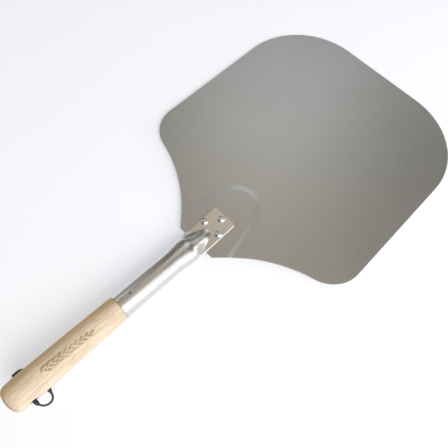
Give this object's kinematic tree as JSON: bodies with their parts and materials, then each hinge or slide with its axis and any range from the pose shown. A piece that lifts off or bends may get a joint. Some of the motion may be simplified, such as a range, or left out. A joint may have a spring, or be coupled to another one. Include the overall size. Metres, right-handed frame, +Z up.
{
  "type": "pizza peel",
  "caption": "Flat aluminium pizza peel with a rounded blade, a riveted tube socket and a short wooden handle with a leather hanging strap.",
  "frame": {"origin": "centre of the blade's flat underside, halfway along the blade and across it", "axes": "+X forward along the blade, away from the handle; +Y to the left seen from the handle; +Z up, out of the face that carries the pizza"},
  "size_m": [0.5965, 0.305, 0.0453],
  "materials": {
    "blade_aluminium": "fine satin, brushed along the blade",
    "socket_aluminium": "polished tube",
    "rivet_metal": "polished domed heads",
    "handle_wood": "pale sanded hardwood, clear satin coat",
    "pin_steel": "plain small brad",
    "strap_leather": "dark brown flat lace, cut edges"
  },
  "bodies": {
    "peel": {"blade": "blade_aluminium", "tube_socket": "socket_aluminium", "rivet_front": "rivet_metal", "rivet_left": "rivet_metal", "rivet_right": "rivet_metal", "wood_handle": "handle_wood", "handle_pin": "pin_steel"},
    "strap": {"hanging_strap": "strap_leather"}
  },
  "joints": [
    {"name": "strap_swing", "type": "hinge", "parent": "peel", "child": "strap", "pos_m": [-0.39886, 0, 0.02322], "axis": [0, 1, 0], "range_deg": [0, 250]}
  ]
}
